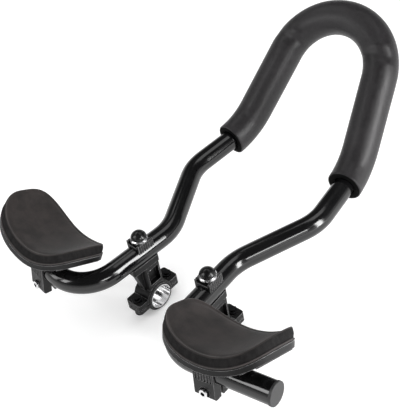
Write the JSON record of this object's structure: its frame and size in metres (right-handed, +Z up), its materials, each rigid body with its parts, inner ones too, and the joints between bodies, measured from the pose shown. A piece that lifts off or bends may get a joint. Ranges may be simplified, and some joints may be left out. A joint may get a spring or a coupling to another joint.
{
  "type": "aero handlebar extension",
  "caption": "Clip-on aero bar: a continuous bent tube with a foam-covered forward loop, risers that clamp a base bar, and troughed arm rests with foam pads.",
  "frame": {"origin": "on the clamped base bar's axis, midway between the two clamp rings", "axes": "+X along the base bar to the rider's right, +Y forward towards the loop, +Z up"},
  "size_m": [0.3594, 0.4226, 0.2174],
  "materials": {
    "bar_gloss": "deep gloss black over alloy tube",
    "grip_foam": "closed-cell foam, satin black, fine pores and wrinkles at the bends",
    "pad_foam": "matte warm dark grey moulded foam with a fine nap",
    "hook_fabric": "black hook and loop tape",
    "moulded_black": "fibre-filled moulded plastic, satin black",
    "gloss_black": "gloss black cap",
    "bright_alloy": "bright drawn sleeve",
    "bright_steel": "bright zinc plated steel",
    "black_steel": "black oxide steel"
  },
  "bodies": {
    "root": {"bar_tube": "bar_gloss", "foam_grip": "grip_foam", "left_end_plug": "moulded_black", "left_bracket_body": "moulded_black", "left_bracket_cap": "moulded_black", "left_bar_shim": "bright_alloy", "left_saddle_clip": "moulded_black", "left_saddle_washer": "bright_steel", "left_saddle_bolt": "bright_steel", "left_saddle_nut": "bright_steel", "left_dome_cap": "gloss_black", "left_arm_cup": "moulded_black", "left_pad_patch": "hook_fabric", "left_arm_pad": "pad_foam", "left_cup_bolt": "bright_steel", "left_cup_nut": "bright_steel", "left_front_clamp_bolt": "black_steel", "left_front_clamp_nut": "black_steel", "left_rear_clamp_bolt": "black_steel", "left_rear_clamp_nut": "black_steel", "right_end_plug": "moulded_black", "right_bracket_body": "moulded_black", "right_bracket_cap": "moulded_black", "right_bar_shim": "bright_alloy", "right_saddle_clip": "moulded_black", "right_saddle_washer": "bright_steel", "right_saddle_bolt": "bright_steel", "right_saddle_nut": "bright_steel", "right_dome_cap": "gloss_black", "right_arm_cup": "moulded_black", "right_pad_patch": "hook_fabric", "right_arm_pad": "pad_foam", "right_cup_bolt": "bright_steel", "right_cup_nut": "bright_steel", "right_front_clamp_bolt": "black_steel", "right_front_clamp_nut": "black_steel", "right_rear_clamp_bolt": "black_steel", "right_rear_clamp_nut": "black_steel"}
  },
  "joints": []
}
